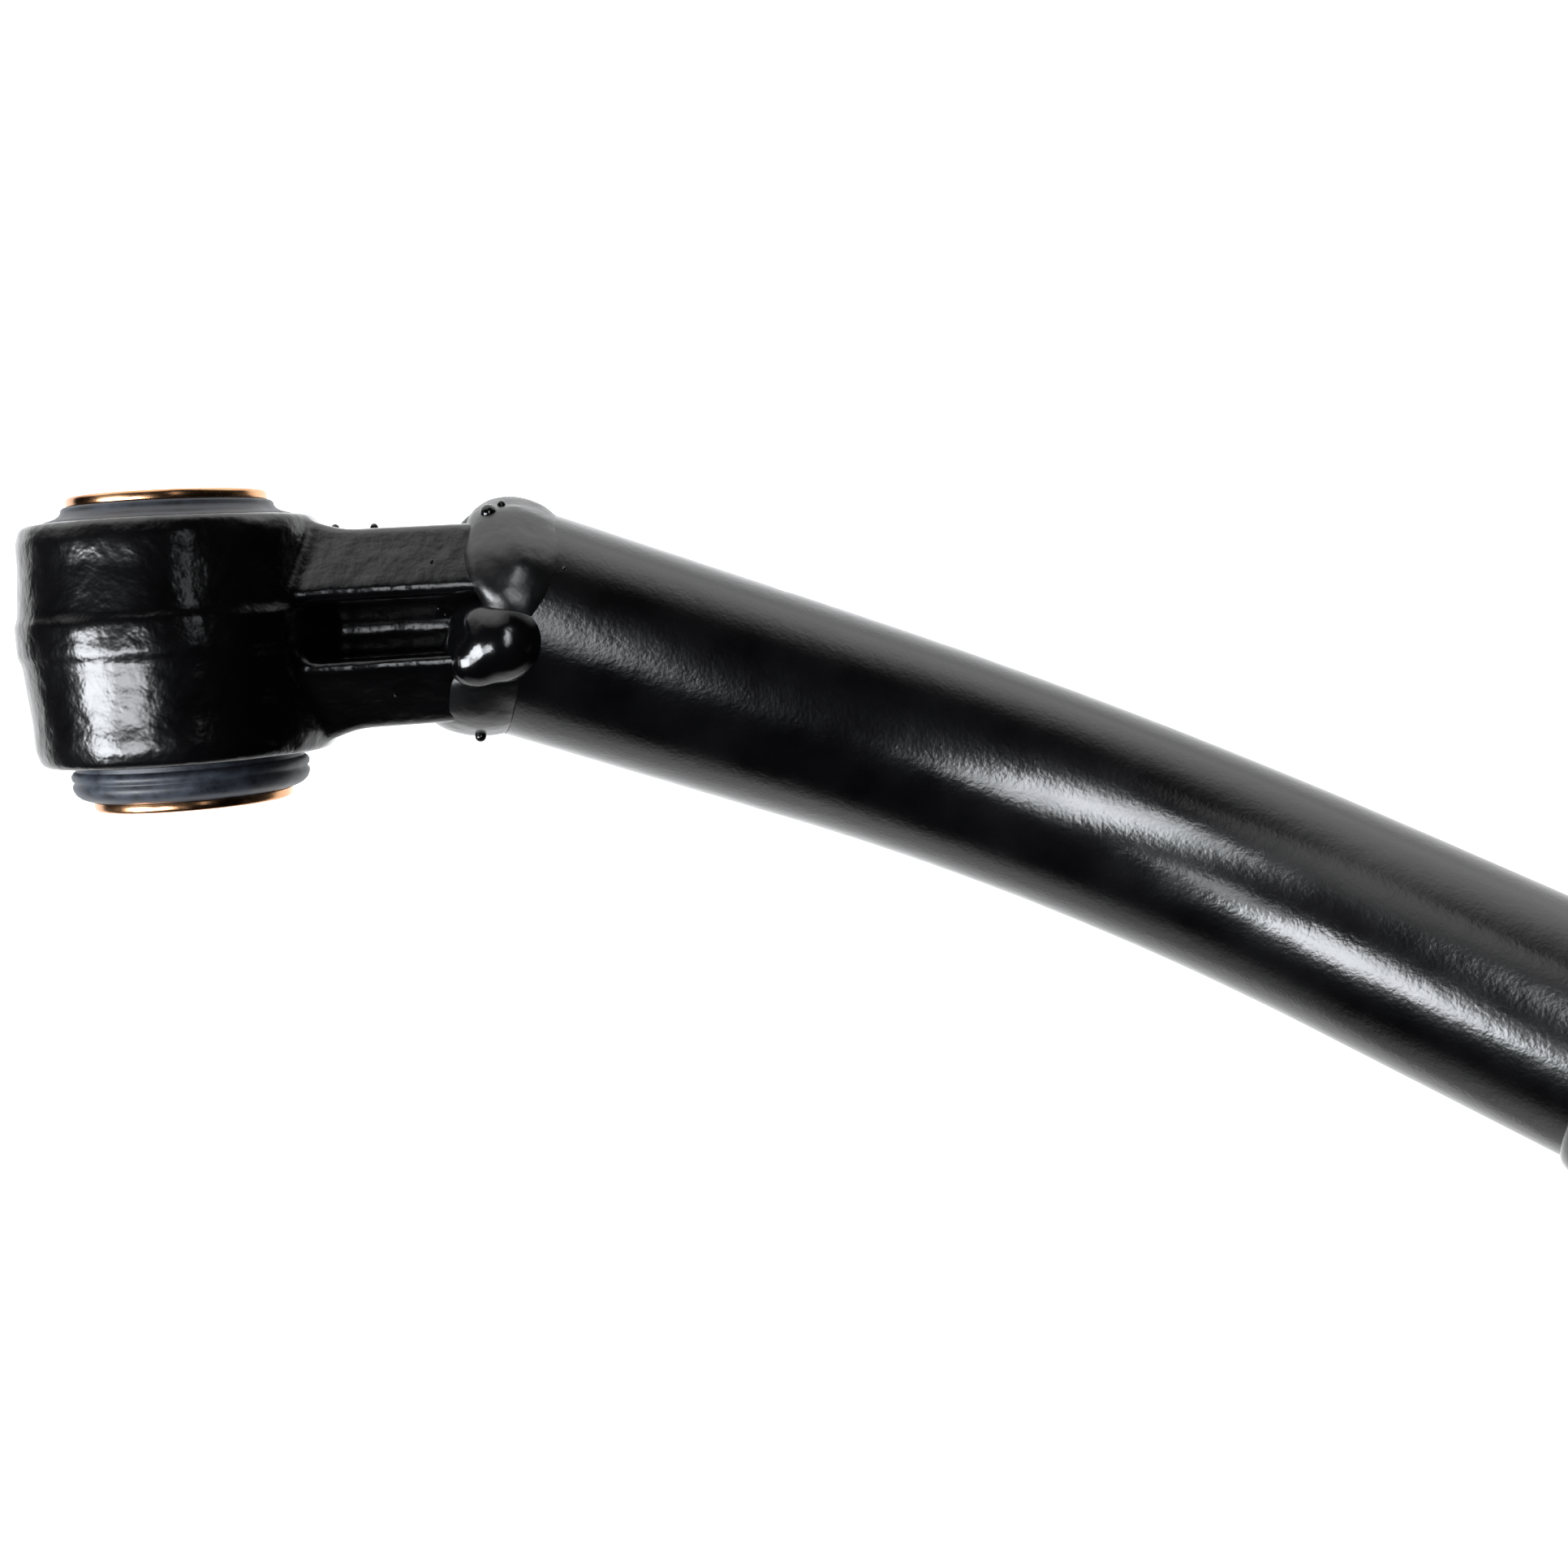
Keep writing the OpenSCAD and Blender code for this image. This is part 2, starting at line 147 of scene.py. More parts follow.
def straight_lengths():
    """Lengths of the tube's two straights, from where the two lines would cross."""
    tangent = BEND_R * math.tan(BEND_ANGLE / 2)
    span = TUBE_END - MITRE
    c = FIRST_LINE.dot(FAR_LINE)
    along_first = span.dot(FIRST_LINE)
    along_last = span.dot(FAR_LINE)
    first = (along_first - c * along_last) / (1 - c * c)
    last = (along_last - c * along_first) / (1 - c * c)
    return first - tangent, last - tangent


FIRST_STRAIGHT, LAST_STRAIGHT = straight_lengths()


# ---- small tools for working as at the bench ----
def clear_selection():
    if bpy.context.mode != "OBJECT":
        bpy.ops.object.mode_set(mode="OBJECT")
    bpy.ops.object.select_all(action="DESELECT")


def only(obj):
    clear_selection()
    obj.select_set(True)
    bpy.context.view_layer.objects.active = obj
    return obj


def edit_all(obj):
    only(obj)
    bpy.ops.object.mode_set(mode="EDIT")
    bpy.ops.mesh.select_all(action="SELECT")


def leave_edit():
    bpy.ops.object.mode_set(mode="OBJECT")


def outline(name, points, closed=False):
    """A piece made of a line of points only."""
    mesh = bpy.data.meshes.new(name)
    edges = [(i, i + 1) for i in range(len(points) - 1)]
    if closed:
        edges.append((len(points) - 1, 0))
    mesh.from_pydata([Vector(p) for p in points], edges, [])
    obj = bpy.data.objects.new(name, mesh)
    bpy.context.scene.collection.objects.link(obj)
    return obj


def tidy_mesh(obj, distance=0.001):
    edit_all(obj)
    bpy.ops.mesh.remove_doubles(threshold=distance)
    bpy.ops.mesh.normals_make_consistent(inside=False)
    leave_edit()


def lathe(name, profile, steps=96, closed=False):
    """Spins (radius, height) points round the Y axis."""
    obj = outline(name, [(r, h, 0) for r, h in profile], closed)
    edit_all(obj)
    bpy.ops.mesh.spin(steps=steps, angle=2 * math.pi, center=(0, 0, 0), axis=(0, 1, 0))
    leave_edit()
    tidy_mesh(obj)
    return obj


def apply_modifier(obj, kind, **settings):
    only(obj)
    mod = obj.modifiers.new(kind.title(), kind)
    for key, value in settings.items():
        setattr(mod, key, value)
    bpy.ops.object.modifier_apply(modifier=mod.name)
    return obj


def cut(obj, tool, operation="DIFFERENCE"):
    apply_modifier(obj, "BOOLEAN", operation=operation, object=tool, solver="EXACT")
    bpy.data.objects.remove(tool, do_unlink=True)
    return obj


def set_place(obj, matrix):
    """Moves a piece's own points, so that the object stays at the origin."""
    obj.data.transform(matrix)
    obj.data.update()
    return obj


def block(name, low, high):
    low, high = Vector(low), Vector(high)
    bpy.ops.mesh.primitive_cube_add(size=1, location=(0, 0, 0))
    obj = bpy.context.object
    obj.name = name
    middle = (low + high) / 2
    size = high - low
    return set_place(obj, Matrix.Translation(middle) @ Matrix.Diagonal((*size, 1)))


def bar(name, radius, start, end, sides=128):
    """A round bar from one point to another."""
    start, end = Vector(start), Vector(end)
    line = end - start
    bpy.ops.mesh.primitive_cylinder_add(vertices=sides, radius=radius, depth=line.length, location=(0, 0, 0))
    obj = bpy.context.object
    obj.name = name
    turn = line.to_track_quat("Z", "Y").to_matrix().to_4x4()
    return set_place(obj, Matrix.Translation((start + end) / 2) @ turn)


def ball(name, centre, half, turn=None, segments=40):
    """A ball, stretched to half sizes along its own axes and turned, in mm."""
    bpy.ops.mesh.primitive_uv_sphere_add(segments=segments, ring_count=segments // 2, radius=1)
    obj = bpy.context.object
    obj.name = name
    matrix = Matrix.Translation(centre)
    if turn is not None:
        matrix = matrix @ turn
    return set_place(obj, matrix @ Matrix.Diagonal((*half, 1)))


def join(objs):
    only(objs[0])
    for obj in objs[1:]:
        obj.select_set(True)
    bpy.ops.object.join()
    return objs[0]


def roughen(obj, depth, grain):
    """Pushes the skin in and out a little, as a puddle of weld sets."""
    clouds = bpy.data.textures.new("puddle", "CLOUDS")
    clouds.noise_scale = grain
    clouds.noise_depth = 2
    return apply_modifier(
        obj, "DISPLACE", texture=clouds, strength=depth, mid_level=0.5, texture_coords="LOCAL"
    )


def bevel_edges(obj, width, segments=3, angle=30):
    return apply_modifier(
        obj, "BEVEL", width=width, segments=segments, limit_method="ANGLE", angle_limit=math.radians(angle)
    )


def forge(obj, grain, rounds):
    """Turns joined blocks into one skin and rounds its edges, as a forging die leaves them."""
    apply_modifier(obj, "REMESH", mode="VOXEL", voxel_size=grain)
    apply_modifier(obj, "SMOOTH", factor=0.5, iterations=rounds)
    return obj


def finish_piece(obj, name, body, nodes, material, matrix=None, smooth_angle=40, stretch=None):
    if matrix is not None:
        set_place(obj, matrix)
    set_place(obj, Matrix.Scale(MM, 4))
    tidy_mesh(obj, 0.000002)
    only(obj)
    bpy.ops.object.shade_smooth_by_angle(angle=math.radians(smooth_angle))
    obj.name = name
    obj.data.name = name
    obj.data.materials.clear()
    obj.data.materials.append(material)
    if stretch is None:
        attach(obj, body)
    else:
        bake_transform(obj)
    if nodes:
        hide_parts(*nodes)
    return obj


# ---- materials ----
def new_material(name):
    mat = bpy.data.materials.new(name)
    mat.use_nodes = True
    tree = mat.node_tree
    shader = tree.nodes["Principled BSDF"]
    coords = tree.nodes.new("ShaderNodeTexCoord")
    return mat, tree, shader, coords.outputs["Object"]


def noise(tree, coords, scale, detail=3, roughness=0.5, stretch=None):
    node = tree.nodes.new("ShaderNodeTexNoise")
    node.inputs["Scale"].default_value = scale
    node.inputs["Detail"].default_value = detail
    node.inputs["Roughness"].default_value = roughness
    if stretch:
        mapping = tree.nodes.new("ShaderNodeMapping")
        mapping.inputs["Scale"].default_value = stretch
        tree.links.new(coords, mapping.inputs["Vector"])
        coords = mapping.outputs["Vector"]
    tree.links.new(coords, node.inputs["Vector"])
    return node.outputs["Fac"]


def ramp(tree, value, stops):
    node = tree.nodes.new("ShaderNodeValToRGB")
    elements = node.color_ramp.elements
    while len(elements) < len(stops):
        elements.new(0.5)
    for element, (position, colour) in zip(elements, stops):
        element.position = position
        if not isinstance(colour, tuple):
            colour = (colour, colour, colour)
        element.color = (*colour, 1)
    tree.links.new(value, node.inputs["Fac"])
    return node.outputs["Color"]


def add_bump(tree, shader, layers):
    """Stacks bump layers: (height, strength, distance in m)."""
    normal = None
    for height, strength, distance in layers:
        node = tree.nodes.new("ShaderNodeBump")
        node.inputs["Strength"].default_value = strength
        node.inputs["Distance"].default_value = distance
        tree.links.new(height, node.inputs["Height"])
        if normal is not None:
            tree.links.new(normal, node.inputs["Normal"])
        normal = node.outputs["Normal"]
    tree.links.new(normal, shader.inputs["Normal"])


def coat(name, rough, peel_scale, peel_strength, wave_scale, wave_strength):
    """Black powder coat: an even black with orange peel, finer or coarser, glossier or duller."""
    mat, tree, shader, at = new_material(name)
    blotch = noise(tree, at, 60, 4)
    peel = noise(tree, at, peel_scale, 2)
    wave = noise(tree, at, wave_scale, 3)
    black = ramp(tree, blotch, [(0.3, (0.001, 0.001, 0.0012)), (0.7, (0.0024, 0.0024, 0.0028))])
    tree.links.new(black, shader.inputs["Base Color"])
    tree.links.new(ramp(tree, blotch, [(0.3, rough - 0.03), (0.7, rough + 0.04)]), shader.inputs["Roughness"])
    add_bump(tree, shader, [(wave, wave_strength, 0.0008), (peel, peel_strength, 0.0002)])
    return mat


def rubber(name, dark, light):
    mat, tree, shader, at = new_material(name)
    blotch = noise(tree, at, 220, 6, 0.65)
    grain = noise(tree, at, 1500, 3)
    tree.links.new(ramp(tree, blotch, [(0.35, dark), (0.7, light)]), shader.inputs["Base Color"])
    tree.links.new(ramp(tree, blotch, [(0.3, 0.36), (0.7, 0.58)]), shader.inputs["Roughness"])
    add_bump(tree, shader, [(grain, 0.25, 0.0001)])
    return mat


def plated(name, low, high, rough_low, rough_high, stretch):
    mat, tree, shader, at = new_material(name)
    cloud = noise(tree, at, 120, 5, 0.6)
    lines = noise(tree, at, 60, 4, 0.6, stretch)
    shader.inputs["Metallic"].default_value = 1.0
    tree.links.new(ramp(tree, cloud, [(0.3, low), (0.7, high)]), shader.inputs["Base Color"])
    tree.links.new(ramp(tree, cloud, [(0.3, rough_low), (0.7, rough_high)]), shader.inputs["Roughness"])
    add_bump(tree, shader, [(lines, 0.2, 0.0001)])
    return mat


POWDER = coat("powder_coat_black", 0.2, 1100, 0.22, 240, 0.1)
GLOSS = coat("gloss_coat_black", 0.14, 700, 0.1, 170, 0.22)
FORGED = coat("forged_coat_black", 0.2, 420, 0.3, 170, 0.5)
SATIN = coat("satin_coat_black", 0.3, 500, 0.25, 150, 0.35)
RUBBER_OUTER = rubber("rubber_outer", (0.01, 0.012, 0.017), (0.05, 0.06, 0.08))
RUBBER_INNER = rubber("rubber_inner", (0.01, 0.012, 0.016), (0.045, 0.053, 0.068))
GOLD = plated("gold_zinc", (0.5, 0.24, 0.12), (0.78, 0.45, 0.24), 0.16, 0.34, (1, 30, 1))
ZINC = plated("clear_zinc", (0.5, 0.52, 0.56), (0.72, 0.74, 0.78), 0.26, 0.42, (1, 20, 1))
SHELL = plated("shell_steel", (0.2, 0.2, 0.21), (0.32, 0.33, 0.35), 0.35, 0.5, (1, 20, 1))


# ---- forged eyes ----
def eye_blank(name):
    """The drafted eye with its raised parting band, still without a bore."""
    rim = EYE_RIM_R
    return lathe(
        name,
        [
            (0, -EYE_HALF),
            (rim - RIM_ROUND_R, -EYE_HALF),
            (rim, -EYE_HALF + RIM_ROUND_Y),
            (EYE_MID_R, BAND_LOW),
            (EYE_MID_R + BAND_RAISE, BAND_LOW + BAND_SLOPE),
            (EYE_MID_R + BAND_RAISE, BAND_HALF - BAND_SLOPE),
            (EYE_MID_R, BAND_HALF),
            (rim, EYE_HALF - RIM_ROUND_Y),
            (rim - RIM_ROUND_R, EYE_HALF),
            (0, EYE_HALF),
        ],
        steps=160,
    )


def bore_eye(obj):
    return cut(obj, bar("bore", SHELL_R, (0, -40, 0), (0, 40, 0), 160))


def pulled(name, points, axis, half):
    """A flat outline in mm, (x, other) or (z, y) for axis X, pulled out both ways along one axis."""
    if axis == "Y":
        flat, pull = [(x, -half, v) for x, v in points], (0, 2 * half, 0)
    elif axis == "Z":
        flat, pull = [(x, v, -half) for x, v in points], (0, 0, 2 * half)
    else:
        flat, pull = [(-half, v, x) for x, v in points], (2 * half, 0, 0)
    obj = outline(name, flat, closed=True)
    edit_all(obj)
    bpy.ops.mesh.edge_face_add()
    bpy.ops.mesh.extrude_region_move(TRANSFORM_OT_translate={"value": pull})
    leave_edit()
    tidy_mesh(obj)
    return obj


def shank_plan():
    """Half outline from above: the run out of the eye's side and the straight shank."""
    round_r = EYE_RIM_R + 0.2
    reach = math.sqrt((round_r + PLAN_FILLET) ** 2 - (SHANK_SIDE + PLAN_FILLET) ** 2)
    centre = Vector((reach, SHANK_SIDE + PLAN_FILLET))
    touch = centre * (round_r / centre.length)
    start = math.atan2(touch.y - centre.y, touch.x - centre.x)
    turn = -math.pi / 2 - start
    while turn < -math.pi:
        turn += 2 * math.pi
    half = [(touch.x * 0.9, touch.y * 0.9)]
    for i in range(17):
        angle = start + turn * i / 16
        half.append((centre.x + PLAN_FILLET * math.cos(angle), centre.y + PLAN_FILLET * math.sin(angle)))
    return half + [(MITRE_X + 6, SHANK_SIDE)]


def shank_side():
    """Half outline from the side: down from the eye's rim in a curve, then level."""
    drop = EYE_HALF - RIM_STEP - SHANK_HALF
    half = [(10, EYE_HALF - RIM_STEP)]
    for i in range(13):
        t = i / 12
        half.append((25 + 13 * t, SHANK_HALF + drop * (1 - t * t * (3 - 2 * t))))
    return half + [(MITRE_X + 6, SHANK_HALF)]


def flange_cutter(above, front):
    """Takes off one long corner of the shank, running out in a curve at the eye."""
    up, out = (1 if above else -1), (1 if front else -1)
    slope = math.atan2(SLANT_DEEP, SHANK_HALF - 2 - FLANGE_LAND)
    start = FLANGE_RUN_X
    tool = bar("slant", FLANGE_RUN_R, (start, 0, 0), (start, CLEAR, 0), 96)
    cut(tool, block("run", (start, 0, -FLANGE_RUN_R), (90, CLEAR, FLANGE_RUN_R)), "UNION")
    cut(tool, block("below", (-CLEAR, -5, -CLEAR), (20, CLEAR + 10, CLEAR)))
    set_place(tool, Matrix.Rotation(math.pi / 2 - slope, 4, "X"))
    set_place(tool, Matrix.Translation((0, FLANGE_LAND, SHANK_SIDE)))
    set_place(tool, Matrix.Diagonal((1, up, out, 1)))
    tidy_mesh(tool)
    return tool


def shank_blank(name):
    plan = shank_plan()
    outline_plan = plan + [(x, -z) for x, z in reversed(plan)]
    side = shank_side()
    outline_side = side + [(x, -y) for x, y in reversed(side)]
    body = pulled(name, outline_plan, "Y", 30)
    cut(body, pulled("side", outline_side, "Z", 40), "INTERSECT")
    for above in (True, False):
        for front in (True, False):
            cut(body, flange_cutter(above, front))
    return body


def recess_tool(side):
    """Slot with a round floor and a flared mouth in one side of the shank, short of the eye."""
    mouth = [
        (WEB_HALF - 2.4, 0.4),
        (WEB_HALF - 1.6, 2.2),
        (WEB_HALF, 3.9),
        (WEB_HALF + 2.6, 5.3),
        (19.0, 5.8),
        (20.8, 6.2),
        (21.9, 7.0),
        (22.7, 8.4),
        (40, 8.4),
    ]
    points = mouth + [(z, -y) for z, y in reversed(mouth)]
    tool = pulled("recess", points, "X", RECESS_HALF_LENGTH)
    set_place(tool, Matrix.Translation((RECESS_END - RECESS_HALF_LENGTH, 0, 0)))
    if side < 0:
        set_place(tool, Matrix.Rotation(math.pi, 4, "X"))
    return cut(tool, bar("keep", EYE_MID_R + 0.3, (0, -30, 0), (0, 30, 0), 160))


def fixed_forging():
    shank = shank_blank("shank")
    cut(shank, recess_tool(1))
    cut(shank, recess_tool(-1))
    core = bar("eye_core", EYE_MID_R - 1.0, (0, -EYE_HALF + 2, 0), (0, EYE_HALF - 2, 0), 128)
    cut(shank, core, "UNION")
    forge(shank, 0.7, 22)
    end = block("mitre", (-2, -CLEAR, -CLEAR), (CLEAR, CLEAR, CLEAR))
    cut(shank, set_place(end, MITRE_FRAME))
    body = eye_blank("fixed_eye")
    cut(body, shank, "UNION")
    forge(body, 0.6, 16)
    bore_eye(body)
    nodes = ["fixed_eye_forging"]
    return finish_piece(body, "fixed_eye", "arm", nodes, FORGED, smooth_angle=60)


def shank_spatter():
    """Little balls of spatter that stuck to the shank beside the weld."""
    spots = [
        ((34.6, SHANK_HALF + 0.5, 5), 0.95),
        ((42.9, SHANK_HALF + 0.3, 5), 0.9),
        ((67.4, 23.6, 11), 1.9),
        ((70.6, 25.4, 8), 0.95),
        ((62.5, -25.6, 5), 1.3),
        ((53.9, 13.7, 18.6), 0.35),
        ((55.2, 3.4, 8.6), 0.4),
        ((56.6, 2.0, 8.6), 0.4),
        ((44.1, -14.5, 18.0), 0.35),
        ((81.5, 10.5, 22.9), 0.4),
        ((50, 14, -18.4), 0.6),
        ((58, -12, -19.8), 0.5),
        ((40, -SHANK_HALF - 0.2, -5), 0.7),
    ]
    drops = [ball("drop", place, (size, size, size), segments=16) for place, size in spots]
    return finish_piece(join(drops), "weld_spatter", "arm", [], GLOSS, smooth_angle=80)


def adjuster_forging():
    body = eye_blank("adjuster_eye")
    neck = lathe(
        "neck",
        [
            (0, 0),
            (SHANK_HALF - 1, 0),
            (SHANK_HALF - 0.5, EYE_MID_R - 3),
            (SHANK_HALF - 3, EYE_MID_R + 2),
            (THREAD_R + 2.4, NECK_LENGTH - 5),
            (THREAD_R + 2.4, NECK_LENGTH - 1),
            (THREAD_R + 1.4, NECK_LENGTH),
            (0, NECK_LENGTH),
        ],
        steps=96,
    )
    set_place(neck, Matrix.Rotation(math.radians(90), 4, "Z"))
    cut(body, neck, "UNION")
    forge(body, 0.7, 9)
    bore_eye(body)
    nodes = ["adjuster_eye_forging"]
    return finish_piece(body, "adjuster_eye", "adjuster", nodes, GLOSS, FAR_FRAME, 60)


def thread(name, radius, depth, start, length):
    """A screw thread along -x: one tooth's outline wound up turn by turn."""
    pitch = THREAD_PITCH
    turns = int(length / pitch)
    obj = outline(
        name,
        [
            (radius - depth - 0.6, 0, 0),
            (radius - depth, 0.05 * pitch, 0),
            (radius, 0.44 * pitch, 0),
            (radius, 0.56 * pitch, 0),
            (radius - depth, 0.95 * pitch, 0),
            (radius - depth - 0.6, pitch, 0),
        ],
    )
    apply_modifier(
        obj,
        "SCREW",
        axis="Y",
        angle=2 * math.pi,
        screw_offset=pitch,
        iterations=turns,
        steps=48,
        render_steps=48,
    )
    tidy_mesh(obj, 0.003)
    set_place(obj, Matrix.Translation((-start, 0, 0)) @ Matrix.Rotation(math.radians(90), 4, "Z"))
    return obj


def adjuster_stud():
    end = EYE_FROM_TUBE + 30
    core = bar("adjuster_thread", THREAD_R - 1.25, (-NECK_LENGTH + 2, 0, 0), (1 - end, 0, 0), 64)
    threaded = end - NECK_LENGTH - 2 * THREAD_PITCH
    wind = thread("wind", THREAD_R - 0.02, 1.2, NECK_LENGTH + 0.3, threaded)
    only(core)
    wind.select_set(True)
    bpy.ops.object.join()
    return finish_piece(core, "adjuster_thread", "adjuster", [], ZINC, FAR_FRAME)


# ---- tube ----
def arm_tube():
    """A ring pulled out along the first straight, spun round the bend and pulled out again."""
    sides = 160
    turns = [2 * math.pi * i / sides for i in range(sides)]
    before = 11
    ring = [(-before, TUBE_R * math.cos(a), TUBE_R * math.sin(a)) for a in turns]
    obj = outline("arm_tube", ring, closed=True)
    edit_all(obj)
    pulls = 24
    pull = (FIRST_STRAIGHT + before) / pulls
    for _ in range(pulls):
        bpy.ops.mesh.extrude_edges_move(TRANSFORM_OT_translate={"value": (pull, 0, 0)})
    bpy.ops.mesh.spin(steps=64, angle=BEND_ANGLE, center=(FIRST_STRAIGHT, 0, BEND_R), axis=(0, 1, 0))
    far = Vector((math.cos(BEND_ANGLE), 0, math.sin(BEND_ANGLE)))
    for _ in range(12):
        bpy.ops.mesh.extrude_edges_move(TRANSFORM_OT_translate={"value": far * ((LAST_STRAIGHT + 6) / 12)})
    bpy.ops.mesh.select_all(action="SELECT")
    bpy.ops.mesh.fill_holes(sides=0)
    leave_edit()
    tidy_mesh(obj)
    apply_modifier(obj, "SOLIDIFY", thickness=TUBE_WALL, offset=-1)
    near = block("mitre", (-80, -CLEAR, -CLEAR), (1, CLEAR, CLEAR))
    cut(obj, set_place(near, FIRST_FRAME.inverted() @ MITRE_FRAME))
    beyond = block("end", (0, -CLEAR, -CLEAR), (CLEAR, CLEAR, CLEAR))
    cut(obj, set_place(beyond, FIRST_FRAME.inverted() @ END_FRAME))
    turn = Matrix.Translation((VENT_X, 0, 0)) @ Matrix.Rotation(math.radians(VENT_TURN), 4, "X")
    hole = bar("vent", VENT_R, (0, 0, 12), (0, 0, 60), 48)
    cut(obj, set_place(hole, turn))
    return finish_piece(obj, "arm_tube", "arm", ["arm_tube"], POWDER, FIRST_FRAME)


def puddle(x, angle, half_x, half_arc, rise, deep=5.5, slant=0):
    """One puddle of weld: x along the mitre's axis, angle round it from +Z towards +Y."""
    turn = Matrix.Rotation(math.radians(-angle), 4, "X")
    centre = Matrix.Translation((x, 0, 0)) @ turn @ Vector((0, 0, TUBE_R - deep + rise))
    lie = turn @ Matrix.Rotation(math.radians(slant), 4, "Z")
    return ball("puddle", centre, (half_x, half_arc, deep), lie)


def weld_between():
    """The weld round the mitre: wide puddles that overlap, wider on the shank's side below."""
    base = lathe(
        "fixed_weld",
        [(19.2, -9), (21.8, -9), (23.8, -6.5), (24.9, -3), (25.3, 0), (25.3, 2.6), (25, 3.6), (19.2, 3.6)],
        steps=120,
        closed=True,
    )
    set_place(base, Matrix.Rotation(math.radians(-90), 4, "Z"))
    runs = [
        (-0.8, 84, 8.4, 14.0, 0.2),
        (-1.8, 60, 12.0, 17.5, 0.7),
        (-2.2, 38, 12.0, 15.0, 0.8),
        (-0.8, 10, 7.0, 9.0, -0.7),
        (-0.8, -14, 6.6, 9.0, -0.9),
        (-2.8, -36, 8.6, 11.0, 0.4),
        (-5.6, -55, 11.0, 13.0, 1.2),
        (-6.4, -75, 11.6, 14.0, 1.8),
        (-5.6, -97, 11.4, 14.0, 1.6),
        (-4.6, -118, 11.0, 14.0, 1.2),
        (-4.2, -140, 10.6, 14.0, 1.0),
        (-3.2, -162, 9.6, 12.0, 0.9),
        (-3.0, 176, 9.6, 12.0, 0.9),
        (-3.6, 153, 10.6, 14.0, 1.1),
        (-3.4, 129, 11.4, 14.0, 1.0),
        (-2.0, 106, 9.6, 13.0, 0.5),
    ]
    obj = join([base] + [puddle(*run) for run in runs])
    forge(obj, 0.7, 60)
    roughen(obj, 0.3, 5)
    return finish_piece(obj, "fixed_weld", "arm", ["fixed_weld_ring"], SATIN, MITRE_FRAME, 80)


def recess_blob(side):
    """The glossy drop laid across one recess, with its tail down along the shank."""
    parts = [
        puddle(-3.4, -15, 10.8, 9.6, 3.6, 10, 38),
        puddle(-7.6, -26, 9.0, 8.0, 2.4, 10, 38),
        puddle(-8.4, -8, 6.4, 6.6, 0.2, 10),
        puddle(-5.8, -15, 9.0, 8.4, 1.4, 14),
    ]
    obj = join(parts)
    forge(obj, 0.6, 50)
    matrix = MITRE_FRAME
    if side < 0:
        matrix = MITRE_FRAME @ Matrix.Rotation(math.radians(180), 4, "X")
    node = "recess_weld_front" if side > 0 else "recess_weld_back"
    name = "recess_bead_front" if side > 0 else "recess_bead_back"
    return finish_piece(obj, name, "arm", [node], GLOSS, matrix, smooth_angle=80)


def end_weld():
    """Round bead where the tube meets the bung."""
    points = [(TUBE_R - 1.5, -6)]
    for i in range(13):
        a = math.pi * i / 12
        points.append((TUBE_R - 0.3 + 2.8 * math.sin(a), -5 * math.cos(a)))
    points.append((TUBE_R - 1.5, 6))
    obj = lathe("bung_bead", points, steps=160, closed=True)
    set_place(obj, Matrix.Rotation(math.radians(-90), 4, "Z"))
    return finish_piece(obj, "bung_bead", "arm", ["bung_weld"], GLOSS, END_FRAME, 60)


def bung():
    obj = lathe(
        "bung",
        [
            (THREAD_R + 0.07, -44),
            (17.5, -44),
            (18.9, -42),
            (18.9, 0.05),
            (TUBE_R, 0.05),
            (TUBE_R, COLLAR - 1.5),
            (TUBE_R - 1.5, COLLAR),
            (THREAD_R + 1.1, COLLAR),
            (THREAD_R + 0.07, COLLAR - 1),
        ],
        steps=128,
        closed=True,
    )
    set_place(obj, Matrix.Rotation(math.radians(-90), 4, "Z"))
    return finish_piece(obj, "bung", "arm", ["threaded_bung"], POWDER, END_FRAME)


def jam_nut():
    corner_r = NUT_FLATS / 2 / math.cos(math.pi / 6)
    bpy.ops.mesh.primitive_cylinder_add(vertices=6, radius=corner_r, depth=NUT_HEIGHT)
    obj = bpy.context.object
    obj.name = "jam_nut"
    set_place(obj, Matrix.Translation((0, 0, NUT_HEIGHT / 2)))
    corner = corner_r + 0.2
    flat = NUT_FLATS / 2 - 0.4
    cone = lathe(
        "chamfer",
        [(0, 0), (flat, 0), (corner, 2.2), (corner, NUT_HEIGHT - 2.2), (flat, NUT_HEIGHT), (0, NUT_HEIGHT)],
        steps=96,
    )
    set_place(cone, Matrix.Rotation(math.radians(90), 4, "X"))
    cut(obj, cone, "INTERSECT")
    cut(obj, bar("bore", THREAD_R + 0.08, (0, 0, -5), (0, 0, NUT_HEIGHT + 5), 96))
    bevel_edges(obj, 0.25, 2, 25)
    set_place(obj, Matrix.Rotation(math.radians(90), 4, "Y"))
    set_place(obj, Matrix.Translation((COLLAR + FACE_GAP, 0, 0)))
    return finish_piece(obj, "jam_nut", "lock_nut", ["jam_nut"], ZINC, END_FRAME)


# ---- bushes: heights are measured from the middle of the eye, along its bolt ----
RING_IN = SLEEVE_HALF - RING_THICK
UPPER_RING = RING_IN - BUSH_DROP
LOWER_RING = -RING_IN - BUSH_DROP


def bush_outer():
    """Hard rubber inside the shell, hollowed for the ball."""
    deep = EYE_HALF - 1.5
    return lathe(
        "outer",
        [
            (20.5, -deep),
            (SHELL_BORE_R, -deep),
            (SHELL_BORE_R, deep),
            (20.5, deep),
            (17.9, 9.5 - BUSH_DROP),
            (BALL_R + 0.05, -BUSH_DROP),
            (17.9, -9.5 - BUSH_DROP),
        ],
        steps=96,
        closed=True,
    )


